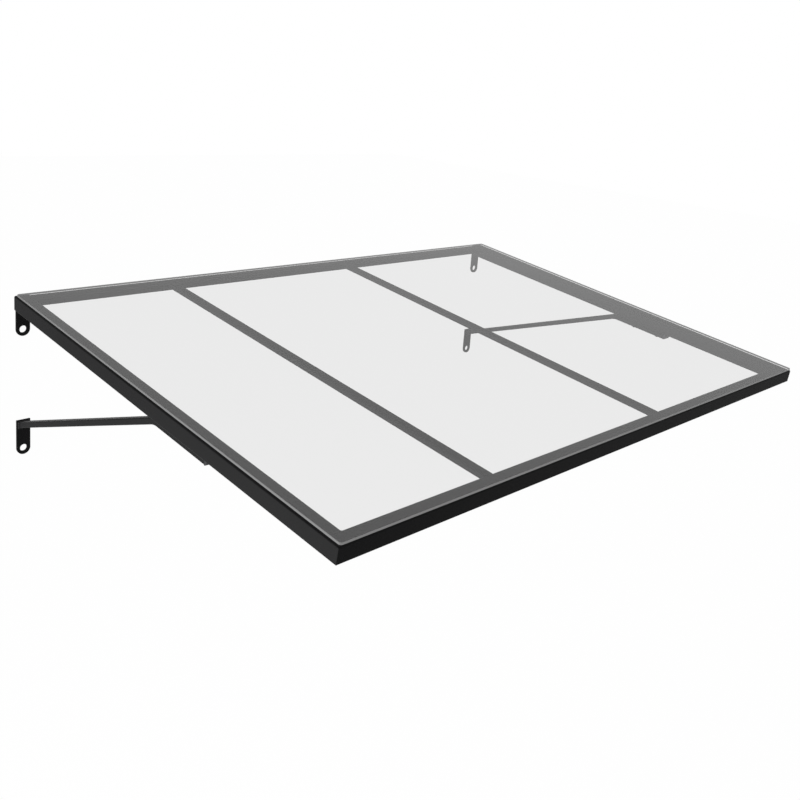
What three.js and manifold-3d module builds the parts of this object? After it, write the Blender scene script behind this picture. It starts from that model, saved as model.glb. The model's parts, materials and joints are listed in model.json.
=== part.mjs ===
import * as THREE from "three";
import { mergeVertices } from "three/addons/utils/BufferGeometryUtils.js";
import Module from "manifold-3d";

const wasm = await Module();
wasm.setup();

// A door canopy: a welded steel frame under one clear sheet, hung on the wall by two upper tabs and two arms.
// Millimetres. +X runs along the wall, +Y into it and +Z up. The origin lies on the wall's face at mid width,
// level with the upper wall holes.

// Overall
const canopyWidth = 1420;
const slopeDepth = 1000; // along the slope, from the back end of the rails to the front face
const slopeAngle = THREE.MathUtils.degToRad(7);
const railTopAboveHole = 71; // back end of the rails' top face, above the upper wall holes
const seatGap = 0.3; // left between pieces that bear on each other

// Frame tubes
const railSize = 30;
const railWall = 2;
const railCorner = 3;
const backRailHeight = 15;
const rafterWidth = 20;
const rafterHeight = 10;
const rafterWall = 1.5;
const rafterCorner = 2;
const rafterPlaces = [342, 852]; // centre lines, from the left face of the frame

// Clear sheet and the tape that beds it
const sheetThickness = 4;
const sheetSideInset = 2; // side face of a rail to the sheet's edge
const sheetBackInset = 5; // back end of the rails to the sheet's back edge
const sheetCorner = 5;
const sheetArris = 0.4;
const tapeThickness = 0.6;
const railTapeWidth = 20;
const tapeSideInset = 3; // side edge of the sheet to its tape
const rafterTapeWidth = 12;

// Wall flats
const flatWidth = 28;
const flatThickness = 4;
const wallHoleDiameter = 15;
const flatSideInset = 4; // side face of a rail to the near edge of its tab and its plate
const tabTopBelowRail = 2; // top edge of a tab, under the rails' top face
const lowerHoleDrop = 254; // lower wall holes, under the upper ones
const plateTopAboveHole = 61;

// Arms
const armWidth = 20;
const armHeight = 12;
const armWall = 1.5;
const armCorner = 2;
const armRootAboveHole = 51; // arm's axis at its plate, above the lower wall hole
const armBendPlace = 521; // down the slope, from the back end of the rails
const armEndPlace = 680;
const armBendRadius = 50;
const armBendSteps = 8;
const armRunIn = 10; // length of tube taken off where the arm is cut to its plate

// End caps of the arms
const capHeadLength = 7;
const capNoseRadius = 6;
const capPlugLength = 14;
const capPlugClearance = 0.4;
const capPlugHollow = 2; // wall of the hollow plug

// Screws and rivet nuts under the side rails
const screwPlaces = [580, 650]; // down the slope, from the back end of the rails
const screwDiameter = 6;
const screwLength = 22;
const screwHeadDiameter = 10.5;
const screwHeadHeight = 3.3;
const socketAcrossFlats = 4;
const socketDepth = 2;
const screwHoleClearance = 0.4; // on the radius
const nutBodyDiameter = 9;
const nutBulgeDiameter = 11.4;
const nutBulgeLength = 3;
const nutLength = 13;
const nutFlangeDiameter = 12;
const nutFlangeThickness = 0.5;
const nutHoleClearance = 0.3; // on the radius

// Levels across the roof, measured square to its slope from the rails' top face
const sheetUnderside = tapeThickness + 2 * seatGap;
const footTop = -(railSize + nutFlangeThickness + 2 * seatGap);
const footAxis = footTop - armHeight / 2;
const backRailSetIn = backRailHeight * Math.tan(slopeAngle);
const halfWidth = canopyWidth / 2;
const railAxis = halfWidth - railSize / 2;
const flatAxis = halfWidth - flatSideInset - flatWidth / 2; // of tabs, plates and arms
const roofBack = -(flatThickness + seatGap);

const cornerSegments = 3; // half the steps of a quarter round
const roundSegments = 20;

function powderCoat(shade) {
  return new THREE.MeshStandardMaterial({ color: shade, roughness: 0.55, metalness: 0.0 });
}

function clearAcrylic() {
  return new THREE.MeshStandardMaterial({
    color: 0xe8e8e8,
    roughness: 0.08,
    metalness: 0.0,
    transparent: true,
    opacity: 0.3,
  });
}

function blackTape() {
  return new THREE.MeshStandardMaterial({ color: 0x101010, roughness: 0.8, metalness: 0.0 });
}

function blackPlastic() {
  return new THREE.MeshStandardMaterial({ color: 0x18181a, roughness: 0.5, metalness: 0.0 });
}

function blackenedSteel() {
  return new THREE.MeshStandardMaterial({ color: 0x1c1c1e, roughness: 0.4, metalness: 0.8 });
}

function zincSteel() {
  return new THREE.MeshStandardMaterial({ color: 0xb4b6b8, roughness: 0.4, metalness: 0.9 });
}

function solidFrom(geometry) {
  const plain = geometry.index ? geometry.toNonIndexed() : geometry.clone();
  plain.deleteAttribute("normal");
  plain.deleteAttribute("uv");
  const merged = mergeVertices(plain, 1e-4);
  return new wasm.Manifold(
    new wasm.Mesh({
      numProp: 3,
      vertProperties: merged.attributes.position.array,
      triVerts: new Uint32Array(merged.index.array),
    }),
  );
}

function geometryFrom(solid) {
  const mesh = solid.getMesh();
  const geometry = new THREE.BufferGeometry();
  geometry.setAttribute("position", new THREE.BufferAttribute(mesh.vertProperties, 3));
  geometry.setIndex(new THREE.BufferAttribute(mesh.triVerts, 1));
  return geometry;
}

// Takes off all that lies beyond a plane, on the side that its normal points to.
function trimmed(solid, point, normal) {
  const reach = 2 * (canopyWidth + slopeDepth);
  const block = new THREE.BoxGeometry(reach, reach, reach).translate(0, 0, reach / 2);
  const turn = new THREE.Quaternion().setFromUnitVectors(new THREE.Vector3(0, 0, 1), normal.clone().normalize());
  block.applyQuaternion(turn).translate(point.x, point.y, point.z);
  return solid.subtract(solidFrom(block));
}

function drilled(solid, x, y, z, length, radius) {
  const drill = new THREE.CylinderGeometry(radius, radius, length, roundSegments);
  drill.rotateX(Math.PI / 2).translate(x, y, z);
  return solid.subtract(solidFrom(drill));
}

function roundedRectangle(path, centreX, centreY, width, height, corner) {
  const right = centreX + width / 2 - corner;
  const left = centreX - width / 2 + corner;
  const top = centreY + height / 2 - corner;
  const bottom = centreY - height / 2 + corner;
  path.moveTo(right + corner, bottom);
  path.lineTo(right + corner, top);
  path.absarc(right, top, corner, 0, Math.PI / 2);
  path.lineTo(left, top + corner);
  path.absarc(left, top, corner, Math.PI / 2, Math.PI);
  path.lineTo(left - corner, bottom);
  path.absarc(left, bottom, corner, Math.PI, 1.5 * Math.PI);
  path.lineTo(right, bottom - corner);
  path.absarc(right, bottom, corner, 1.5 * Math.PI, 2 * Math.PI);
  return path;
}

function tubeSection(centreX, centreY, width, height, wall, corner) {
  const section = roundedRectangle(new THREE.Shape(), centreX, centreY, width, height, corner);
  const bore = new THREE.Path();
  const boreCorner = Math.max(corner - wall, wall / 4);
  roundedRectangle(bore, centreX, centreY, width - 2 * wall, height - 2 * wall, boreCorner);
  section.holes.push(bore);
  return section;
}

// A straight tube down the slope, from its back end at y = 0.
function tubeDownSlope(section, length) {
  const settings = { depth: length, bevelEnabled: false, curveSegments: cornerSegments };
  return new THREE.ExtrudeGeometry(section, settings).rotateX(Math.PI / 2);
}

// A straight tube along the wall, from its left end at x = 0.
function tubeAcross(section, length) {
  return tubeDownSlope(section, length).rotateZ(Math.PI / 2);
}

// The wall's face is upright, so in the roof's own frame its normal leans by the slope.
const wallNormal = new THREE.Vector3(0, Math.cos(slopeAngle), -Math.sin(slopeAngle));

// A place in the wall's frame, as y and z in the roof's.
function inRoof(y, z) {
  const back = y - roofBack;
  const rise = z - railTopAboveHole;
  return new THREE.Vector2(
    back * Math.cos(slopeAngle) + rise * Math.sin(slopeAngle),
    rise * Math.cos(slopeAngle) - back * Math.sin(slopeAngle),
  );
}

function trimmedAtMitre(solid, side, outward) {
  const corner = new THREE.Vector3(side * halfWidth, -slopeDepth, 0);
  const normal = new THREE.Vector3(side, 1, 0).normalize().multiplyScalar(outward);
  corner.addScaledVector(normal, -seatGap / 2);
  return trimmed(solid, corner, normal);
}

function frontRail() {
  const axisY = -slopeDepth + railSize / 2;
  const section = tubeSection(axisY, -railSize / 2, railSize, railSize, railWall, railCorner);
  const tube = tubeAcross(section, canopyWidth).translate(-halfWidth, 0, 0);
  return trimmedAtMitre(trimmedAtMitre(solidFrom(tube), 1, 1), -1, 1);
}

// Mitred to the front rail, with its back end cut upright and two holes in its underside for the rivet nuts.
function sideRail(side) {
  const section = tubeSection(side * railAxis, -railSize / 2, railSize, railSize, railWall, railCorner);
  let rail = solidFrom(tubeDownSlope(section, slopeDepth));
  rail = trimmedAtMitre(rail, side, -1);
  rail = trimmed(rail, new THREE.Vector3(0, 0, 0), wallNormal);
  for (const place of screwPlaces) {
    const radius = nutBodyDiameter / 2 + nutHoleClearance;
    rail = drilled(rail, side * flatAxis, -place, -railSize + railWall / 2, 2 * railWall, radius);
  }
  return rail;
}

function backRail() {
  const axisY = -backRailSetIn - railSize / 2;
  const length = canopyWidth - 2 * (railSize + seatGap);
  const section = tubeSection(axisY, -backRailHeight / 2, railSize, backRailHeight, railWall, railCorner);
  return solidFrom(tubeAcross(section, length).translate(-length / 2, 0, 0));
}

function rafter(place) {
  const backEnd = backRailSetIn + railSize + seatGap;
  const length = slopeDepth - railSize - seatGap - backEnd;
  const centreX = place - halfWidth;
  const section = tubeSection(centreX, -rafterHeight / 2, rafterWidth, rafterHeight, rafterWall, rafterCorner);
  return solidFrom(tubeDownSlope(section, length).translate(0, -backEnd, 0));
}

function clearSheet() {
  const width = canopyWidth - 2 * sheetSideInset;
  const length = slopeDepth - sheetBackInset;
  const outline = roundedRectangle(new THREE.Shape(), 0, length / 2 - slopeDepth, width, length, sheetCorner);
  const settings = {
    depth: sheetThickness - 2 * sheetArris,
    bevelThickness: sheetArris,
    bevelSize: sheetArris,
    bevelOffset: -sheetArris,
    bevelSegments: 1,
    curveSegments: cornerSegments,
  };
  return solidFrom(new THREE.ExtrudeGeometry(outline, settings).translate(0, 0, sheetUnderside + sheetArris));
}

// One strip of tape between two corners given as x and y.
function tapeStrip(fromX, fromY, toX, toY) {
  const strip = new THREE.BoxGeometry(Math.abs(toX - fromX), Math.abs(toY - fromY), tapeThickness);
  return solidFrom(strip.translate((fromX + toX) / 2, (fromY + toY) / 2, seatGap + tapeThickness / 2));
}

const tapeInset = (railSize - railTapeWidth) / 2;
const tapeReach = halfWidth - sheetSideInset - tapeSideInset;
const backTapeStart = -backRailSetIn - tapeInset;
const frontTapeStart = -slopeDepth + tapeInset + railTapeWidth;

function backTape() {
  return tapeStrip(-tapeReach, backTapeStart, tapeReach, backTapeStart - railTapeWidth);
}

function frontTape() {
  return tapeStrip(-tapeReach, frontTapeStart, tapeReach, frontTapeStart - railTapeWidth);
}

function tapeDownSlope(centreX, width) {
  const start = backTapeStart - railTapeWidth - seatGap;
  const end = frontTapeStart + seatGap;
  return tapeStrip(centreX - width / 2, start, centreX + width / 2, end);
}

// A flat bar with a half-round lower end and its wall hole in the middle of that round.
function wallFlat(topAboveHole) {
  const half = flatWidth / 2;
  const outline = new THREE.Shape();
  outline.moveTo(half, 0);
  outline.lineTo(half, topAboveHole);
  outline.lineTo(-half, topAboveHole);
  outline.lineTo(-half, 0);
  outline.absarc(0, 0, half, Math.PI, 2 * Math.PI);
  outline.holes.push(new THREE.Path().absarc(0, 0, wallHoleDiameter / 2, 0, 2 * Math.PI));
  const settings = { depth: flatThickness, bevelEnabled: false, curveSegments: roundSegments / 2 };
  return solidFrom(new THREE.ExtrudeGeometry(outline, settings).rotateX(Math.PI / 2));
}

// Two straight runs with one round bend, in the plane x = 0. Its stations are the ends of the runs and the
// steps of the bend, so the straight runs have no rings in between.
class BentCentreLine extends THREE.Curve {
  constructor(start, corner, end, radius, bendSteps) {
    super();
    this.start = start;
    this.end = end;
    this.before = corner.clone().sub(start).normalize();
    this.after = end.clone().sub(corner).normalize();
    this.bend = Math.acos(this.before.dot(this.after)) * Math.sign(this.before.cross(this.after));
    const reach = radius * Math.tan(Math.abs(this.bend) / 2);
    this.bendStart = corner.clone().addScaledVector(this.before, -reach);
    this.bendEnd = corner.clone().addScaledVector(this.after, reach);
    this.bendSteps = bendSteps;
    const side = Math.sign(this.bend) * radius;
    this.centre = this.bendStart.clone().add(new THREE.Vector2(-this.before.y, this.before.x).multiplyScalar(side));
  }

  get steps() {
    return this.bendSteps + 2;
  }

  getUtoTmapping(u) {
    return u;
  }

  getPoint(t, target = new THREE.Vector3()) {
    const station = t * this.steps;
    const last = this.steps - 1;
    let place;
    if (station <= 1) place = this.start.clone().lerp(this.bendStart, station);
    else if (station >= last) place = this.bendEnd.clone().lerp(this.end, station - last);
    else place = this.bendStart.clone().rotateAround(this.centre, (this.bend * (station - 1)) / this.bendSteps);
    return target.set(0, place.x, place.y);
  }

  getTangent(t, target = new THREE.Vector3()) {
    const turned = THREE.MathUtils.clamp((t * this.steps - 1) / this.bendSteps, 0, 1) * this.bend;
    const direction = this.before.clone().rotateAround(new THREE.Vector2(), turned);
    return target.set(0, direction.x, direction.y);
  }
}

// Rises from its plate and bends to run on under the side rail, as a foot that two screws hold.
function arm() {
  const root = inRoof(roofBack, armRootAboveHole - lowerHoleDrop);
  const corner = new THREE.Vector2(-armBendPlace, footAxis);
  const end = new THREE.Vector2(-armEndPlace + capHeadLength, footAxis);
  const start = root.clone().addScaledVector(corner.clone().sub(root).normalize(), -armRunIn);
  const centreLine = new BentCentreLine(start, corner, end, armBendRadius, armBendSteps);
  const section = tubeSection(0, 0, armWidth, armHeight, armWall, armCorner);
  const settings = { steps: centreLine.steps, extrudePath: centreLine, curveSegments: cornerSegments };
  let tube = solidFrom(new THREE.ExtrudeGeometry(section, settings));
  tube = trimmed(tube, new THREE.Vector3(0, root.x, root.y), wallNormal);
  for (const place of screwPlaces) {
    tube = drilled(tube, 0, -place, footAxis, 2 * armHeight, screwDiameter / 2 + screwHoleClearance);
  }
  return tube;
}

// A cap with its lower corner rounded off, and a hollow plug that fits in the arm's bore.
function armEndCap() {
  const headBack = -armEndPlace + capHeadLength - seatGap;
  const headFront = -armEndPlace;
  const profile = new THREE.Shape();
  profile.moveTo(headBack, -armHeight / 2);
  profile.lineTo(headBack, armHeight / 2);
  profile.lineTo(headFront, armHeight / 2);
  profile.lineTo(headFront, -armHeight / 2 + capNoseRadius);
  profile.absarc(headFront + capNoseRadius, -armHeight / 2 + capNoseRadius, capNoseRadius, Math.PI, 1.5 * Math.PI);
  const headSettings = { depth: armWidth, bevelEnabled: false, curveSegments: roundSegments / 2 };
  const head = new THREE.ExtrudeGeometry(profile, headSettings);
  head.rotateX(Math.PI / 2).rotateZ(Math.PI / 2).translate(-armWidth / 2, 0, footAxis);
  const plugWidth = armWidth - 2 * (armWall + capPlugClearance);
  const plugHeight = armHeight - 2 * (armWall + capPlugClearance);
  const plugCorner = Math.max(armCorner - armWall, armWall / 4);
  const plugSection = tubeSection(0, footAxis, plugWidth, plugHeight, capPlugHollow, plugCorner);
  const plug = tubeDownSlope(plugSection, capPlugLength + capHeadLength / 2);
  plug.translate(0, headBack + capPlugLength, 0);
  return solidFrom(head).add(solidFrom(plug));
}

// Button head with a hexagon socket, pointing up.
function armScrew() {
  const headRadius = screwHeadDiameter / 2;
  const shankRadius = screwDiameter / 2;
  const rim = screwHeadHeight / 4;
  const profile = [
    new THREE.Vector2(0, -screwHeadHeight),
    new THREE.Vector2(0.55 * headRadius, -screwHeadHeight),
    new THREE.Vector2(0.85 * headRadius, -0.65 * screwHeadHeight),
    new THREE.Vector2(headRadius, -rim),
    new THREE.Vector2(headRadius, 0),
    new THREE.Vector2(shankRadius, 0),
    new THREE.Vector2(shankRadius, screwLength - shankRadius / 3),
    new THREE.Vector2((2 * shankRadius) / 3, screwLength),
    new THREE.Vector2(0, screwLength),
  ];
  const body = solidFrom(new THREE.LatheGeometry(profile, roundSegments).rotateX(Math.PI / 2));
  const socketRadius = socketAcrossFlats / Math.sqrt(3);
  const socket = new THREE.CylinderGeometry(socketRadius, socketRadius, 2 * socketDepth, 6);
  return body.subtract(solidFrom(socket.rotateX(Math.PI / 2).translate(0, 0, -screwHeadHeight)));
}

// Set in the rail's underside: a thin flange outside, and a bulge above the wall that holds it.
function rivetNut() {
  const bore = screwDiameter / 2 + seatGap;
  const body = nutBodyDiameter / 2;
  const bulge = nutBulgeDiameter / 2;
  const flange = nutFlangeDiameter / 2;
  const bulgeStart = railWall + 2 * seatGap + nutFlangeThickness;
  const profile = [
    new THREE.Vector2(bore, 0),
    new THREE.Vector2(flange, 0),
    new THREE.Vector2(flange, nutFlangeThickness),
    new THREE.Vector2(body, nutFlangeThickness),
    new THREE.Vector2(body, bulgeStart),
    new THREE.Vector2(bulge, bulgeStart),
    new THREE.Vector2(bulge, bulgeStart + nutBulgeLength / 3),
    new THREE.Vector2(body, bulgeStart + nutBulgeLength),
    new THREE.Vector2(body, nutLength),
    new THREE.Vector2(bore, nutLength),
    new THREE.Vector2(bore, 0),
  ];
  return solidFrom(new THREE.LatheGeometry(profile, roundSegments).rotateX(Math.PI / 2));
}

function named(name, solid, material) {
  const mesh = new THREE.Mesh(geometryFrom(solid), material);
  mesh.name = name;
  return mesh;
}

const sides = [
  { side: -1, label: "left" },
  { side: 1, label: "right" },
];

// All that follows the slope, in the roof's own frame.
function roof() {
  const group = new THREE.Group();
  group.position.set(0, roofBack, railTopAboveHole);
  group.rotation.x = slopeAngle;
  group.add(named("front_rail", frontRail(), powderCoat(0x1a1a1c)));
  group.add(named("back_rail", backRail(), powderCoat(0x2a2a2c)));
  group.add(named("clear_sheet", clearSheet(), clearAcrylic()));
  group.add(named("tape_back", backTape(), blackTape()));
  group.add(named("tape_front", frontTape(), blackTape()));
  rafterPlaces.forEach((place, index) => {
    const label = index + 1;
    group.add(named("rafter_" + label, rafter(place), powderCoat(0x2a2a2c)));
    group.add(named("tape_rafter_" + label, tapeDownSlope(place - halfWidth, rafterTapeWidth), blackTape()));
  });
  for (const { side, label } of sides) {
    group.add(named("side_rail_" + label, sideRail(side), powderCoat(0x343436)));
    const tapeAxis = side * (tapeReach - railTapeWidth / 2);
    group.add(named("tape_side_" + label, tapeDownSlope(tapeAxis, railTapeWidth), blackTape()));
    group.add(armSet(side, label));
  }
  return group;
}

// One arm with its cap, screws and rivet nuts, under one side rail.
function armSet(side, label) {
  const group = new THREE.Group();
  group.position.x = side * flatAxis;
  group.add(named("arm_" + label, arm(), powderCoat(0x343436)));
  group.add(named("arm_cap_" + label, armEndCap(), blackPlastic()));
  screwPlaces.forEach((place, index) => {
    const screw = named("arm_screw_" + label + "_" + (index + 1), armScrew(), blackenedSteel());
    screw.position.set(0, -place, footTop - armHeight - seatGap);
    group.add(screw);
    const nut = named("rivet_nut_" + label + "_" + (index + 1), rivetNut(), zincSteel());
    nut.position.set(0, -place, -railSize - seatGap - nutFlangeThickness);
    group.add(nut);
  });
  return group;
}

// The two tabs behind the back ends of the rails and the two plates at the roots of the arms.
function wallFlats() {
  const group = new THREE.Group();
  for (const { side, label } of sides) {
    const tab = named("upper_tab_" + label, wallFlat(railTopAboveHole - tabTopBelowRail), powderCoat(0x141416));
    tab.position.x = side * flatAxis;
    group.add(tab);
    const plate = named("lower_plate_" + label, wallFlat(plateTopAboveHole), powderCoat(0x141416));
    plate.position.set(side * flatAxis, 0, -lowerHoleDrop);
    group.add(plate);
  }
  return group;
}

const canopy = new THREE.Group();
canopy.add(roof());
canopy.add(wallFlats());

export default canopy;
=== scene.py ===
import json
import math

import bmesh
import bpy
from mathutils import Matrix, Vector


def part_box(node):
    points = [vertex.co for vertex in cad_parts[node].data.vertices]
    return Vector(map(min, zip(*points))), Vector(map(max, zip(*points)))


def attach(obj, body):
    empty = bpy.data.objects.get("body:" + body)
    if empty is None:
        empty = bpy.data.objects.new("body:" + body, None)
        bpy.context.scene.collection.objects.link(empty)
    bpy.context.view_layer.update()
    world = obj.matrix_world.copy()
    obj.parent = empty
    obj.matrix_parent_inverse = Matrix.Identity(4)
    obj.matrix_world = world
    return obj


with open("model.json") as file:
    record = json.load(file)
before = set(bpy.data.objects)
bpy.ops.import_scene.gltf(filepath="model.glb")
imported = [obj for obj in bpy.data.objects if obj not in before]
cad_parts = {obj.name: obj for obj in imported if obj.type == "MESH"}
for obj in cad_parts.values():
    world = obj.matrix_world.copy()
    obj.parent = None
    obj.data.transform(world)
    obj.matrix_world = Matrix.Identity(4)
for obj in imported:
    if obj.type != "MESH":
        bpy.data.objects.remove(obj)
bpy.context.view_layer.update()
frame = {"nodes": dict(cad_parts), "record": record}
nodes = frame["nodes"]

mm = 0.001
print("frame loaded:", len(nodes), "nodes")


# Camera
cameraShot = {
    "place": (-1.5117, -1.8599, 0.5757),
    "turn": (78.17, -4.685, -46.067),
    "lens": 43.42,
    "shiftX": -0.0333,
    "shiftY": -0.1601,
}


def placeCamera():
    data = bpy.data.cameras.new("Camera")
    data.lens = cameraShot["lens"]
    data.sensor_width = 36
    data.shift_x = cameraShot["shiftX"]
    data.shift_y = cameraShot["shiftY"]
    data.clip_start = 0.05
    data.clip_end = 200
    camera = bpy.data.objects.new("Camera", data)
    camera.location = cameraShot["place"]
    camera.rotation_euler = [math.radians(angle) for angle in cameraShot["turn"]]
    bpy.context.scene.collection.objects.link(camera)
    bpy.context.scene.camera = camera


placeCamera()
print("camera placed")


# Roof axes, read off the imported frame: across is X, down runs with the slope, up is square to the sheet
def roofAxes():
    flat = max(nodes["clear_sheet"].data.polygons, key=lambda face: face.area)
    up = flat.normal.copy()
    if up.z < 0:
        up.negate()
    down = Vector((1, 0, 0)).cross(up)
    if down.z > 0:
        down.negate()
    return down, up


roofDown, roofUp = roofAxes()


def farthest(name, axis):
    return max(axis.dot(vertex.co) for vertex in nodes[name].data.vertices)


railTop = farthest("front_rail", roofUp)
railBack = -farthest("side_rail_left", -roofDown)


def onRoof(x, down, up):
    # down is counted from the back end of the rails, up from their top face
    return Vector((x, 0, 0)) + (railBack + down) * roofDown + (railTop + up) * roofUp


def roofSpan(name):
    # (first, last) down the slope and (lowest, highest) over the rails' top
    down = -farthest(name, -roofDown) - railBack, farthest(name, roofDown) - railBack
    up = -farthest(name, -roofUp) - railTop, farthest(name, roofUp) - railTop
    return down, up


def linkNew(name, mesh):
    made = bpy.data.objects.new(name, mesh)
    bpy.context.scene.collection.objects.link(made)
    return made


# Shader helpers
def addNode(tree, kind, at=(0, 0), **settings):
    made = tree.nodes.new(kind)
    made.location = at
    for name, value in settings.items():
        setattr(made, name, value)
    return made


def newMaterial(name):
    material = bpy.data.materials.new(name)
    material.use_nodes = True
    tree = material.node_tree
    return material, tree, tree.nodes["Principled BSDF"]


def mathStep(tree, operation, first, second=None, at=(0, 0)):
    made = addNode(tree, "ShaderNodeMath", at, operation=operation)
    for socket, value in zip(made.inputs, (first, second)):
        if isinstance(value, bpy.types.NodeSocket):
            tree.links.new(value, socket)
        elif value is not None:
            socket.default_value = value
    return made.outputs[0]


def newShaderGroup(name, inputs, outputs):
    tree = bpy.data.node_groups.new(name, "ShaderNodeTree")
    for label, value in inputs.items():
        socket = tree.interface.new_socket(name=label, in_out="INPUT", socket_type="NodeSocketFloat")
        socket.default_value = value
    for label in outputs:
        tree.interface.new_socket(name=label, in_out="OUTPUT", socket_type="NodeSocketFloat")
    return tree, addNode(tree, "NodeGroupInput", (-900, 0)), addNode(tree, "NodeGroupOutput", (700, 0))


# Surface grain: fine bumps for the Height of a Bump node, and broad patches for colour and roughness
def buildGrain():
    inputs = {"Grain Scale": 900.0, "Patch Scale": 5.0, "Patch Contrast": 1.0}
    tree, given, made = newShaderGroup("Surface grain", inputs, ["Grain", "Patches"])
    where = addNode(tree, "ShaderNodeTexCoord", (-900, 250))
    fine = addNode(tree, "ShaderNodeTexNoise", (-500, 250))
    fine.inputs["Detail"].default_value = 3
    fine.inputs["Roughness"].default_value = 0.55
    broad = addNode(tree, "ShaderNodeTexNoise", (-500, -50))
    broad.inputs["Detail"].default_value = 4
    tree.links.new(where.outputs["Object"], fine.inputs["Vector"])
    tree.links.new(where.outputs["Object"], broad.inputs["Vector"])
    tree.links.new(given.outputs["Grain Scale"], fine.inputs["Scale"])
    tree.links.new(given.outputs["Patch Scale"], broad.inputs["Scale"])
    centred = mathStep(tree, "SUBTRACT", broad.outputs[0], 0.5, (-250, -50))
    spread = mathStep(tree, "MULTIPLY", centred, given.outputs["Patch Contrast"], (-50, -50))
    patches = mathStep(tree, "ADD", spread, 0.5, (150, -50))
    tree.links.new(fine.outputs[0], made.inputs["Grain"])
    tree.links.new(patches, made.inputs["Patches"])
    return tree


# Dust that settles in soft patches on faces that look up
dustShare = {
    "leastLevel": 0.6,
    "thinFrom": 0.35,
    "thickFrom": 0.75,
    "colour": (0.32, 0.31, 0.29),
}


def buildDust():
    tree, given, made = newShaderGroup("Settled dust", {"Amount": 0.1, "Dust Scale": 9.0}, ["Dust"])
    where = addNode(tree, "ShaderNodeTexCoord", (-900, 250))
    facing = addNode(tree, "ShaderNodeSeparateXYZ", (-650, 350))
    tree.links.new(where.outputs["Normal"], facing.inputs[0])
    level = addNode(tree, "ShaderNodeMapRange", (-450, 350))
    level.inputs["From Min"].default_value = dustShare["leastLevel"]
    tree.links.new(facing.outputs["Z"], level.inputs["Value"])
    clouds = addNode(tree, "ShaderNodeTexNoise", (-650, 50))
    clouds.inputs["Detail"].default_value = 5
    tree.links.new(where.outputs["Object"], clouds.inputs["Vector"])
    tree.links.new(given.outputs["Dust Scale"], clouds.inputs["Scale"])
    patch = addNode(tree, "ShaderNodeMapRange", (-450, 50))
    patch.inputs["From Min"].default_value = dustShare["thinFrom"]
    patch.inputs["From Max"].default_value = dustShare["thickFrom"]
    tree.links.new(clouds.outputs[0], patch.inputs["Value"])
    both = mathStep(tree, "MULTIPLY", level.outputs[0], patch.outputs[0], (-150, 200))
    tree.links.new(mathStep(tree, "MULTIPLY", both, given.outputs["Amount"], (50, 200)), made.inputs["Dust"])
    return tree


surfaceGrain = buildGrain()
settledDust = buildDust()


def addGroup(tree, group, at, **values):
    made = addNode(tree, "ShaderNodeGroup", at, node_tree=group)
    for label, value in values.items():
        made.inputs[label.replace("_", " ")].default_value = value
    return made


def grainedFinish(name, look):
    # colour and roughness vary in patches, dust lightens what looks up, and the grain is a bump
    material, tree, shader = newMaterial(name)
    scales = {"Grain_Scale": look["grainScale"], "Patch_Scale": look["patchScale"]}
    grain = addGroup(tree, surfaceGrain, (-900, 0), **scales)
    dust = addGroup(tree, settledDust, (-900, -300), Amount=look["dust"])
    shade = addNode(tree, "ShaderNodeMix", (-550, 200), data_type="RGBA")
    shade.inputs["A"].default_value = (*look["dark"], 1)
    shade.inputs["B"].default_value = (*look["light"], 1)
    tree.links.new(grain.outputs["Patches"], shade.inputs["Factor"])
    dusty = addNode(tree, "ShaderNodeMix", (-300, 200), data_type="RGBA")
    dusty.inputs["B"].default_value = (*dustShare["colour"], 1)
    tree.links.new(dust.outputs["Dust"], dusty.inputs["Factor"])
    tree.links.new(shade.outputs["Result"], dusty.inputs["A"])
    tree.links.new(dusty.outputs["Result"], shader.inputs["Base Color"])
    rough = addNode(tree, "ShaderNodeMapRange", (-550, -50))
    rough.inputs["To Min"].default_value = look["rough"][0]
    rough.inputs["To Max"].default_value = look["rough"][1]
    tree.links.new(grain.outputs["Patches"], rough.inputs["Value"])
    tree.links.new(rough.outputs[0], shader.inputs["Roughness"])
    bump = addNode(tree, "ShaderNodeBump", (-300, -250))
    bump.inputs["Strength"].default_value = look["bump"]
    bump.inputs["Distance"].default_value = look["bumpDepth"]
    tree.links.new(grain.outputs["Grain"], bump.inputs["Height"])
    tree.links.new(bump.outputs[0], shader.inputs["Normal"])
    shader.inputs["Metallic"].default_value = look["metallic"]
    shader.inputs["Specular IOR Level"].default_value = look["shine"]
    shader.inputs["Sheen Weight"].default_value = look.get("sheen", 0)
    shader.inputs["Sheen Roughness"].default_value = look.get("sheenRough", 0.5)
    return material


# Black powder coat on every steel piece, with a sheen that lifts faces seen at a low angle
powderLook = {
    "dark": (0.0085, 0.0085, 0.0088),
    "light": (0.0125, 0.0125, 0.0128),
    "rough": (0.5, 0.62),
    "grainScale": 850,
    "patchScale": 4,
    "bump": 0.14,
    "bumpDepth": 0.12 * mm,
    "dust": 0.01,
    "metallic": 0,
    "shine": 0.02,
    "sheen": 0.35,
    "sheenRough": 0.2,
}

# Weld metal under the same coat, which lies glossier on the ripples
weldLook = dict(powderLook, rough=(0.4, 0.5), patchScale=60, shine=0.1)

# Bedding tape
tapeLook = {
    "dark": (0.010, 0.010, 0.010),
    "light": (0.016, 0.016, 0.016),
    "rough": (0.8, 0.95),
    "grainScale": 1600,
    "patchScale": 12,
    "bump": 0.06,
    "bumpDepth": 0.1 * mm,
    "dust": 0,
    "metallic": 0,
    "shine": 0.02,
}

# Moulded end caps
capLook = {
    "dark": (0.018, 0.018, 0.020),
    "light": (0.026, 0.026, 0.028),
    "rough": (0.42, 0.6),
    "grainScale": 2200,
    "patchScale": 40,
    "bump": 0.35,
    "bumpDepth": 0.06 * mm,
    "dust": 0.01,
    "metallic": 0,
    "shine": 0.06,
}

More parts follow.
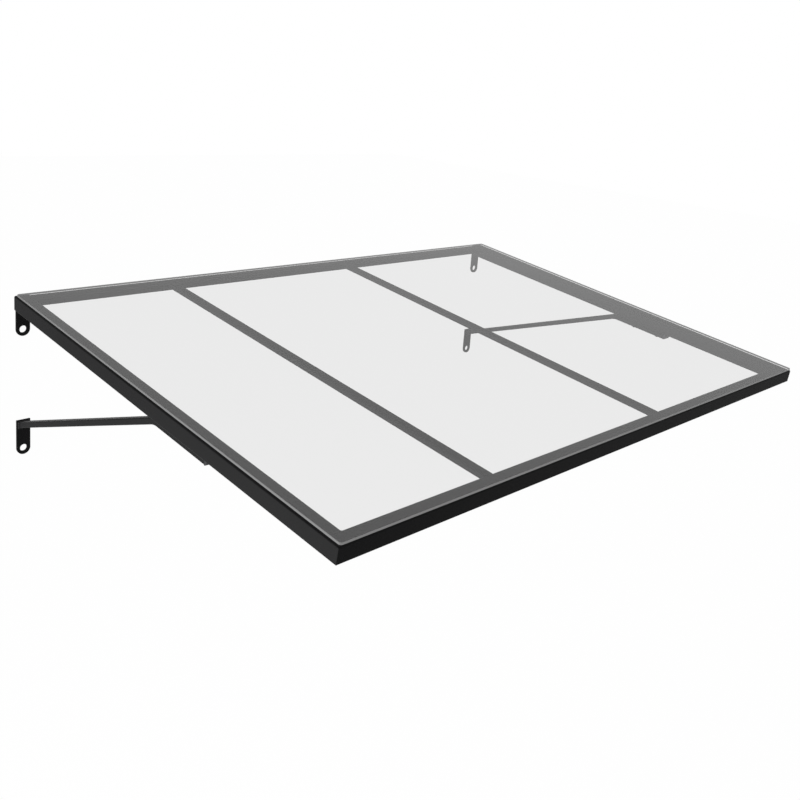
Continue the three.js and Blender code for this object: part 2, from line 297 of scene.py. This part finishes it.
# Blackened screws and zinc plated nuts
screwLook = {
    "dark": (0.035, 0.035, 0.038),
    "light": (0.065, 0.065, 0.068),
    "rough": (0.28, 0.45),
    "grainScale": 2600,
    "patchScale": 160,
    "bump": 0.12,
    "bumpDepth": 0.05 * mm,
    "dust": 0,
    "metallic": 0.85,
    "shine": 0.5,
}
nutLook = dict(screwLook, dark=(0.5, 0.51, 0.53), light=(0.68, 0.69, 0.7), metallic=1)


# Clear sheet: gloss over a faint grey veil, painted lighter at a glance as a painted reflection, with ground
# edges that glow a little by emission, a painted edge light
sheetLook = {
    "body": (0.285, 0.285, 0.285),
    # painted reflection: the veil's colour turns this light at a glance
    "bodyPaintedReflectionAtGlance": (0.97, 0.97, 0.97),
    "nearEdge": (0.01, 0.01, 0.01),
    "farEdge": (0.02, 0.02, 0.02),
    "ior": 1.49,
    "veil": 0.20,
    "veilAtGlance": 0.72,
    "edgeVeil": 0.9,
    # painted edge light, given as emission on the outer edges
    "paintedEdgeGlow": 0.19,
    "faceLimit": 0.9,  # a face counts as an edge where it leans further than this from the sheet's own
    "faceRough": 0.03,
    "edgeRough": 0.7,
    "edgeGrain": 0.5,
    "grainDepth": 0.05 * mm,
    "smears": {"Grain_Scale": 1800, "Patch_Scale": 7, "Patch_Contrast": 1.4},
}


def buildSheetMaterial():
    material, tree, shader = newMaterial("Clear sheet")
    where = addNode(tree, "ShaderNodeTexCoord", (-1500, 200))
    tilt = addNode(tree, "ShaderNodeVectorMath", (-1300, 200), operation="DOT_PRODUCT")
    tilt.inputs[1].default_value = roofUp
    tree.links.new(where.outputs["Normal"], tilt.inputs[0])
    level = mathStep(tree, "ABSOLUTE", tilt.outputs["Value"], at=(-1100, 200))
    edge = mathStep(tree, "LESS_THAN", level, sheetLook["faceLimit"], (-900, 200))
    smears = addGroup(tree, surfaceGrain, (-1100, -250), **sheetLook["smears"])

    # the body colour lightens towards white at a glance, a painted reflection, and an edge seen from inside
    # takes a dark colour, a painted reflection of the dark frame
    geometry = addNode(tree, "ShaderNodeNewGeometry", (-1100, 500))
    rim = addNode(tree, "ShaderNodeMix", (-750, 500), data_type="RGBA")
    rim.inputs["A"].default_value = (*sheetLook["nearEdge"], 1)
    rim.inputs["B"].default_value = (*sheetLook["farEdge"], 1)
    tree.links.new(geometry.outputs["Backfacing"], rim.inputs["Factor"])
    glance = addNode(tree, "ShaderNodeFresnel", (-1100, -550))
    glance.inputs["IOR"].default_value = sheetLook["ior"]
    # painted reflection: the veil colour is mixed towards near white by the Fresnel factor
    body = addNode(tree, "ShaderNodeMix", (-750, 300), data_type="RGBA")
    body.inputs["A"].default_value = (*sheetLook["body"], 1)
    body.inputs["B"].default_value = (*sheetLook["bodyPaintedReflectionAtGlance"], 1)
    tree.links.new(glance.outputs[0], body.inputs["Factor"])
    colour = addNode(tree, "ShaderNodeMix", (-500, 350), data_type="RGBA")
    tree.links.new(body.outputs["Result"], colour.inputs["A"])
    tree.links.new(rim.outputs["Result"], colour.inputs["B"])
    tree.links.new(edge, colour.inputs["Factor"])
    tree.links.new(colour.outputs["Result"], shader.inputs["Base Color"])

    # painted edge light: the outer edges glow by emission, standing in for light that the sheet gathers and
    # lets out at its edges
    paintedGlowMask = mathStep(tree, "SUBTRACT", edge, geometry.outputs["Backfacing"], (-750, 750))
    paintedGlow = mathStep(tree, "MULTIPLY", mathStep(tree, "MAXIMUM", paintedGlowMask, 0.0, (-600, 750)), sheetLook["paintedEdgeGlow"])
    tree.links.new(paintedGlow, shader.inputs["Emission Color"])
    shader.inputs["Emission Strength"].default_value = 1

    polish = mathStep(tree, "MULTIPLY", smears.outputs["Patches"], 2 * sheetLook["faceRough"], (-800, -100))
    rough = addNode(tree, "ShaderNodeMix", (-500, 0), data_type="FLOAT")
    rough.inputs["B"].default_value = sheetLook["edgeRough"]
    tree.links.new(edge, rough.inputs["Factor"])
    tree.links.new(polish, rough.inputs["A"])
    tree.links.new(rough.outputs["Result"], shader.inputs["Roughness"])

    # the veil thickens at a glance, which shows more of the body colour painted lighter there as a painted
    # reflection, and only the face that a ray enters by counts
    grow = mathStep(tree, "MULTIPLY", glance.outputs[0], sheetLook["veilAtGlance"], (-900, -550))
    veil = mathStep(tree, "ADD", grow, sheetLook["veil"], (-700, -550))
    outside = mathStep(tree, "SUBTRACT", 1.0, geometry.outputs["Backfacing"], (-900, -750))
    once = mathStep(tree, "MULTIPLY", veil, outside, (-500, -600))
    alpha = addNode(tree, "ShaderNodeMix", (-250, -500), data_type="FLOAT")
    alpha.inputs["B"].default_value = sheetLook["edgeVeil"]
    tree.links.new(edge, alpha.inputs["Factor"])
    tree.links.new(once, alpha.inputs["A"])
    tree.links.new(alpha.outputs["Result"], shader.inputs["Alpha"])

    ground = addNode(tree, "ShaderNodeBump", (-250, -200))
    ground.inputs["Distance"].default_value = sheetLook["grainDepth"]
    coarse = mathStep(tree, "MULTIPLY", edge, sheetLook["edgeGrain"], (-500, -200))
    tree.links.new(coarse, ground.inputs["Strength"])
    tree.links.new(smears.outputs["Grain"], ground.inputs["Height"])
    tree.links.new(ground.outputs[0], shader.inputs["Normal"])
    shader.inputs["IOR"].default_value = sheetLook["ior"]
    return material


powderCoat = grainedFinish("Powder coat", powderLook)
weldCoat = grainedFinish("Coated weld", weldLook)
slotFinish = {
    "powder_coat": powderCoat,
    "clear_sheet": buildSheetMaterial(),
    "bedding_tape": grainedFinish("Bedding tape", tapeLook),
    "cap_plastic": grainedFinish("Cap plastic", capLook),
    "screw_steel": grainedFinish("Blackened steel", screwLook),
    "nut_steel": grainedFinish("Zinc plate", nutLook),
}


def finishNodes():
    for part in frame["record"]["subparts"]:
        shown = nodes[part["node"]]
        shown.data.materials.clear()
        shown.data.materials.append(slotFinish[part["material_slot"]])


finishNodes()
print("materials made:", len(slotFinish) + 1)


# Geometry Nodes helpers
def newGeometryTree(name, inputs):
    tree = bpy.data.node_groups.new(name, "GeometryNodeTree")
    tree.interface.new_socket(name="Geometry", in_out="INPUT", socket_type="NodeSocketGeometry")
    for label, value in inputs.items():
        kind = "NodeSocketInt" if isinstance(value, int) else "NodeSocketFloat"
        socket = tree.interface.new_socket(name=label, in_out="INPUT", socket_type=kind)
        socket.default_value = value
    tree.interface.new_socket(name="Geometry", in_out="OUTPUT", socket_type="NodeSocketGeometry")
    return tree, addNode(tree, "NodeGroupInput", (-1200, 0)), addNode(tree, "NodeGroupOutput", (1400, 0))


def endTree(tree, result, made, material):
    whole = addNode(tree, "GeometryNodeRealizeInstances", (1000, 0))
    painted = addNode(tree, "GeometryNodeSetMaterial", (1200, 0))
    painted.inputs["Material"].default_value = material
    tree.links.new(result, whole.inputs[0])
    tree.links.new(whole.outputs[0], painted.inputs["Geometry"])
    tree.links.new(painted.outputs[0], made.inputs["Geometry"])


def grownMesh(name, start, tree, values):
    # runs a tree on a start mesh and keeps the result as a plain mesh
    seedling = linkNew(name + "_paths", start)
    modifier = seedling.modifiers.new(tree.name, "NODES")
    modifier.node_group = tree
    for item in tree.interface.items_tree:
        if item.in_out == "INPUT" and item.name in values:
            modifier[item.identifier] = values[item.name]
    bpy.context.view_layer.update()
    grown = seedling.evaluated_get(bpy.context.evaluated_depsgraph_get())
    mesh = bpy.data.meshes.new_from_object(grown)
    seedling.modifiers.clear()
    bpy.data.objects.remove(seedling)
    mesh.name = name
    return linkNew(name, mesh)


def pathMesh(name, paths):
    points, edges = [], []
    for path in paths:
        first = len(points)
        points += [tuple(point) for point in path]
        edges += [(first + step, first + step + 1) for step in range(len(path) - 1)]
    mesh = bpy.data.meshes.new(name)
    mesh.from_pydata(points, edges, [])
    return mesh


# Weld beads: each is a path through its corner, and one tree grows them all
beadSizes = {
    "Bead Radius": 2.0 * mm,
    "Ripple Pitch": 1.9 * mm,
    "Ripple Height": 0.12,
    "Unevenness": 0.25,
    "Seed": 7,
}


beadDetail = {
    "stationsARipple": 5.0,
    "sides": 10,
    "wanderScale": 90,
    "endSize": 0.25,
    "topGap": 1.5 * mm,
    "endGap": 1 * mm,
}


def buildBeadTree():
    tree, given, made = newGeometryTree("Weld bead", beadSizes)
    curve = addNode(tree, "GeometryNodeMeshToCurve", (-950, 200))
    tree.links.new(given.outputs["Geometry"], curve.inputs["Mesh"])
    stations = addNode(tree, "GeometryNodeResampleCurve", (-750, 200), mode="LENGTH")
    step = mathStep(tree, "DIVIDE", given.outputs["Ripple Pitch"], beadDetail["stationsARipple"], (-950, 0))
    tree.links.new(curve.outputs[0], stations.inputs["Curve"])
    tree.links.new(step, stations.inputs["Length"])

    along = addNode(tree, "GeometryNodeSplineParameter", (-950, -200))
    whole = addNode(tree, "GeometryNodeSplineLength", (-950, -400))
    turns = mathStep(tree, "DIVIDE", along.outputs["Length"], given.outputs["Ripple Pitch"], (-700, -200))
    phase = mathStep(tree, "MULTIPLY", turns, math.pi, (-550, -200))
    wave = mathStep(tree, "ABSOLUTE", mathStep(tree, "SINE", phase, at=(-400, -200)), at=(-250, -200))
    ripple = mathStep(tree, "MULTIPLY", wave, given.outputs["Ripple Height"], (-100, -200))

    wander = addNode(tree, "ShaderNodeTexNoise", (-550, -450), noise_dimensions="4D")
    wander.inputs["Scale"].default_value = beadDetail["wanderScale"]
    tree.links.new(given.outputs["Seed"], wander.inputs["W"])
    swing = mathStep(tree, "SUBTRACT", wander.outputs[0], 0.5, (-350, -450))
    uneven = mathStep(tree, "MULTIPLY", swing, given.outputs["Unevenness"], (-200, -450))

    left = mathStep(tree, "SUBTRACT", whole.outputs["Length"], along.outputs["Length"], (-700, -650))
    nearEnd = mathStep(tree, "MINIMUM", left, along.outputs["Length"], (-550, -650))
    share = mathStep(tree, "DIVIDE", nearEnd, given.outputs["Bead Radius"], (-400, -650))
    taper = mathStep(tree, "SQRT", mathStep(tree, "MINIMUM", share, 1.0, (-250, -650)), at=(-100, -650))
    closed = mathStep(tree, "MAXIMUM", taper, beadDetail["endSize"], (50, -650))

    size = mathStep(tree, "ADD", mathStep(tree, "ADD", ripple, uneven, (50, -300)), 1.0, (200, -300))
    scale = mathStep(tree, "MULTIPLY", size, closed, (350, -400))
    profile = addNode(tree, "GeometryNodeCurvePrimitiveCircle", (350, -50))
    profile.inputs["Resolution"].default_value = beadDetail["sides"]
    tree.links.new(given.outputs["Bead Radius"], profile.inputs["Radius"])
    bead = addNode(tree, "GeometryNodeCurveToMesh", (600, 100))
    bead.inputs["Fill Caps"].default_value = True
    tree.links.new(stations.outputs[0], bead.inputs["Curve"])
    tree.links.new(profile.outputs["Curve"], bead.inputs["Profile Curve"])
    tree.links.new(scale, bead.inputs["Scale"])
    smooth = addNode(tree, "GeometryNodeSetShadeSmooth", (800, 100))
    tree.links.new(bead.outputs[0], smooth.inputs["Geometry"])
    endTree(tree, smooth.outputs[0], made, weldCoat)
    return tree


def sideName(side):
    return "left" if side < 0 else "right"


def rafterBeads(name):
    # under and beside each end of a rafter, where it meets the back and the front rail
    low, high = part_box(name)
    ends, (bottom, _) = roofSpan(name)
    top = -beadDetail["topGap"]
    corners = [(low.x, top), (low.x, bottom), (high.x, bottom), (high.x, top)]
    return [[onRoof(x, down, up) for x, up in corners] for down in ends]


def backRailBeads(side):
    # along the underside and up the front face, where the back rail meets a side rail
    (back, front), (bottom, _) = roofSpan("back_rail")
    low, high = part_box("back_rail")
    x = low.x if side < 0 else high.x
    start = onRoof(x, back + 2 * beadDetail["endGap"], bottom)
    return [[start, onRoof(x, front, bottom), onRoof(x, front, -beadDetail["topGap"])]]


def mitreBeads(side):
    # up the inside corner of each front mitre
    low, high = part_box("side_rail_" + sideName(side))
    x = high.x if side < 0 else low.x
    gap = beadDetail["endGap"]
    _, (bottom, _) = roofSpan("front_rail")
    (_, front), _ = roofSpan("rafter_1")
    return [[onRoof(x, front, bottom + gap), onRoof(x, front, -gap)]]


def tabBeads(side):
    # under a side rail's back end and up the tab's outer edge
    tabLow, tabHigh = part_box("upper_tab_" + sideName(side))
    railLow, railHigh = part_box("side_rail_" + sideName(side))
    _, (bottom, _) = roofSpan("side_rail_" + sideName(side))
    gap = beadDetail["endGap"]
    outer = tabLow.x if side < 0 else tabHigh.x
    inner = railHigh.x - gap if side < 0 else railLow.x + gap
    face = tabLow.y
    return [[onTab(inner, face, bottom), onTab(outer, face, bottom), Vector((outer, face, tabHigh.z - gap))]]


def onTab(x, y, up):
    # where a line of the roof at level up comes to depth y, which is a tab's front face
    down = (y - (railTop + up) * roofUp.y) / roofDown.y
    return Vector((x, 0, 0)) + down * roofDown + (railTop + up) * roofUp


def armBeads(side):
    # round an arm's root on its plate, begun and ended under it
    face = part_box("lower_plate_" + sideName(side))[0].y
    armPoints = [vertex.co for vertex in nodes["arm_" + sideName(side)].data.vertices]
    root = [point for point in armPoints if face - point.y < 2 * beadDetail["endGap"]]
    left, right = min(point.x for point in root), max(point.x for point in root)
    low, high = min(point.z for point in root), max(point.z for point in root)
    middle = (left + right) / 2
    corners = [(middle, low), (right, low), (right, high), (left, high), (left, low), (middle, low)]
    return [[Vector((x, face, z)) for x, z in corners]]


def makeWeldBeads():
    paths = rafterBeads("rafter_1") + rafterBeads("rafter_2")
    for side in (-1, 1):
        paths += backRailBeads(side) + mitreBeads(side) + tabBeads(side) + armBeads(side)
    beads = grownMesh("weld_beads", pathMesh("weld_paths", paths), buildBeadTree(), beadSizes)
    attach(beads, "root")


makeWeldBeads()
print("weld beads made")


# Ground flush welds that close the front mitres
flushWeld = {
    "corner": 3 * mm,
    "boreCorner": 1 * mm,
    "wall": 2 * mm,
    "width": 0.8 * mm,
    "proud": 0.03 * mm,
    "steps": 6,
}


def squareLoop(low, high, corner):
    # a square with round corners, as (across, height) pairs
    centres = [(high - corner, high - corner), (low + corner, high - corner)]
    centres += [(low + corner, low + corner), (high - corner, low + corner)]
    loop = []
    for quarter, (across, height) in enumerate(centres):
        for step in range(flushWeld["steps"] + 1):
            angle = math.pi / 2 * (quarter + step / flushWeld["steps"])
            loop.append((across + corner * math.cos(angle), height + corner * math.sin(angle)))
    return loop


def makeFlushWeld(side):
    # a thin square ring on the mitre's plane, with its outside a hair proud of the rails
    (_, front), (bottom, _) = roofSpan("front_rail")
    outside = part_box("front_rail")[1].x
    size = -bottom
    proud = flushWeld["proud"]
    outer = squareLoop(-proud, size + proud, flushWeld["corner"])
    inner = squareLoop(flushWeld["wall"], size - flushWeld["wall"], flushWeld["boreCorner"])
    lean = flushWeld["width"] / 2 / math.sqrt(2)
    rings = []
    for loop in (outer, inner):
        for shift in (-lean, lean):
            ring = [onRoof(side * (outside - a - shift), front - a + shift, -depth) for a, depth in loop]
            rings.append(ring)
    count = len(outer)
    points = [point for ring in rings for point in ring]
    faces = []
    for one, other in ((0, 1), (1, 3), (3, 2), (2, 0)):
        for step in range(count):
            after = (step + 1) % count
            corners = [(one, step), (one, after), (other, after), (other, step)]
            faces.append([which * count + place for which, place in corners])
    name = "flush_weld_" + sideName(side)
    mesh = bpy.data.meshes.new(name)
    mesh.from_pydata(points, [], faces)
    mesh.validate()
    pointOutwards(mesh)
    mesh.materials.append(powderCoat)
    weld = linkNew(name, mesh)
    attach(weld, "root")


def pointOutwards(mesh):
    work = bmesh.new()
    work.from_mesh(mesh)
    bmesh.ops.recalc_face_normals(work, faces=work.faces)
    work.to_mesh(mesh)
    work.free()


for side in (-1, 1):
    makeFlushWeld(side)
print("flush welds made")


# Threads on the screws that hold the arms' feet
threadSizes = {
    "Thread Radius": 3.0 * mm,
    "Pitch": 1.0 * mm,
    "Thread Length": 20.0 * mm,
    "Ridge": 0.28 * mm,
    "Steps a Turn": 18,
}


threadClearHead = 0.5 * mm


def buildThreadTree():
    tree, given, made = newGeometryTree("Screw thread", threadSizes)
    turns = mathStep(tree, "DIVIDE", given.outputs["Thread Length"], given.outputs["Pitch"], (-900, -200))
    spiral = addNode(tree, "GeometryNodeCurveSpiral", (-650, -100))
    inset = mathStep(tree, "MULTIPLY", given.outputs["Ridge"], 0.5, (-900, -350))
    ring = mathStep(tree, "SUBTRACT", given.outputs["Thread Radius"], inset, (-750, -350))
    tree.links.new(given.outputs["Steps a Turn"], spiral.inputs["Resolution"])
    tree.links.new(turns, spiral.inputs["Rotations"])
    tree.links.new(ring, spiral.inputs["Start Radius"])
    tree.links.new(ring, spiral.inputs["End Radius"])
    tree.links.new(given.outputs["Thread Length"], spiral.inputs["Height"])
    profile = addNode(tree, "GeometryNodeCurvePrimitiveCircle", (-650, -450))
    profile.inputs["Resolution"].default_value = 4
    tree.links.new(given.outputs["Ridge"], profile.inputs["Radius"])
    ridge = addNode(tree, "GeometryNodeCurveToMesh", (-350, -200))
    ridge.inputs["Fill Caps"].default_value = True
    tree.links.new(spiral.outputs[0], ridge.inputs["Curve"])
    tree.links.new(profile.outputs["Curve"], ridge.inputs["Profile Curve"])
    copies = addNode(tree, "GeometryNodeInstanceOnPoints", (200, 0))
    tilt = addNode(tree, "FunctionNodeEulerToRotation", (0, -300))
    tilt.inputs[0].default_value = (math.asin(-roofUp.y), 0, 0)
    tree.links.new(given.outputs["Geometry"], copies.inputs["Points"])
    tree.links.new(ridge.outputs[0], copies.inputs["Instance"])
    tree.links.new(tilt.outputs[0], copies.inputs["Rotation"])
    endTree(tree, copies.outputs[0], made, slotFinish["screw_steel"])
    return tree


def makeThreads():
    starts = []
    for name in sorted(node for node in nodes if node.startswith("arm_screw_")):
        low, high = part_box(name)
        (back, front), (_, top) = roofSpan(name)
        foot = top - threadClearHead - threadSizes["Thread Length"]
        starts.append(onRoof((low.x + high.x) / 2, (back + front) / 2, foot))
    mesh = bpy.data.meshes.new("thread_places")
    mesh.from_pydata([tuple(point) for point in starts], [], [])
    threads = grownMesh("screw_threads", mesh, buildThreadTree(), threadSizes)
    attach(threads, "root")


makeThreads()
print("screw threads made")


# Studio: a pale floor at door sill level, a white surround and soft lamps
studio = {
    "floorDrop": 2.1,
    "floorSize": 40,
    "floorColour": (0.8, 0.8, 0.8),
    "floorWhite": 0.97,
    "ambient": 0.2,
}
sideSoftbox = {
    "place": (-2.7, 0.1, -1.4),
    "aim": (-0.7, -0.5, 0),
    "energy": 118,
    "size": (2.4, 0.9),
}
topLight = {
    "place": (1.4, 0.5, 2.4),
    "aim": (0, 0, 0),
    "energy": 2.7,
    "size": math.radians(40),
}


def whiteForSight(tree, at):
    # 1 where the camera, a reflection or clear glass looks at it
    path = addNode(tree, "ShaderNodeLightPath", at)
    seen = mathStep(tree, "MAXIMUM", path.outputs["Is Camera Ray"], path.outputs["Is Glossy Ray"], at)
    return mathStep(tree, "MAXIMUM", seen, path.outputs["Is Transmission Ray"], at)


def buildWorld():
    world = bpy.data.worlds.new("Studio")
    world.use_nodes = True
    tree = world.node_tree
    background = tree.nodes["Background"]
    background.inputs["Color"].default_value = (1, 1, 1, 1)
    seen = whiteForSight(tree, (-600, 0))
    strength = addNode(tree, "ShaderNodeMix", (-300, 0), data_type="FLOAT")
    strength.inputs["A"].default_value = studio["ambient"]
    strength.inputs["B"].default_value = 1
    tree.links.new(seen, strength.inputs["Factor"])
    tree.links.new(strength.outputs["Result"], background.inputs["Strength"])
    bpy.context.scene.world = world


def buildFloor():
    half = studio["floorSize"] / 2
    level = -studio["floorDrop"]
    corners = [(-half, -half, level), (half, -half, level), (half, half, level), (-half, half, level)]
    mesh = bpy.data.meshes.new("floor")
    mesh.from_pydata(corners, [], [(0, 1, 2, 3)])
    material, tree, shader = newMaterial("Pale floor")
    shader.inputs["Base Color"].default_value = (*studio["floorColour"], 1)
    shader.inputs["Roughness"].default_value = 1
    shader.inputs["Specular IOR Level"].default_value = 0
    white = addNode(tree, "ShaderNodeEmission", (0, -300))
    share = mathStep(tree, "MULTIPLY", whiteForSight(tree, (-600, 100)), studio["floorWhite"], (-200, 100))
    blend = addNode(tree, "ShaderNodeMixShader", (300, 0))
    tree.links.new(share, blend.inputs["Fac"])
    tree.links.new(shader.outputs[0], blend.inputs[1])
    tree.links.new(white.outputs[0], blend.inputs[2])
    tree.links.new(blend.outputs[0], tree.nodes["Material Output"].inputs["Surface"])
    mesh.materials.append(material)
    linkNew("floor", mesh)


def addLamp(name, kind, values):
    data = bpy.data.lights.new(name, kind)
    data.energy = values["energy"]
    if kind == "AREA":
        data.shape = "RECTANGLE"
        data.size, data.size_y = values["size"]
    else:
        data.angle = values["size"]
    lamp = bpy.data.objects.new(name, data)
    lamp.visible_camera = False
    lamp.location = values["place"]
    towards = Vector(values["aim"]) - Vector(values["place"])
    lamp.rotation_euler = towards.to_track_quat("-Z", "Y").to_euler()
    bpy.context.scene.collection.objects.link(lamp)


buildWorld()
buildFloor()
addLamp("side_softbox", "AREA", sideSoftbox)
addLamp("top_light", "SUN", topLight)
bpy.context.scene.view_settings.view_transform = "Standard"
print("studio set")
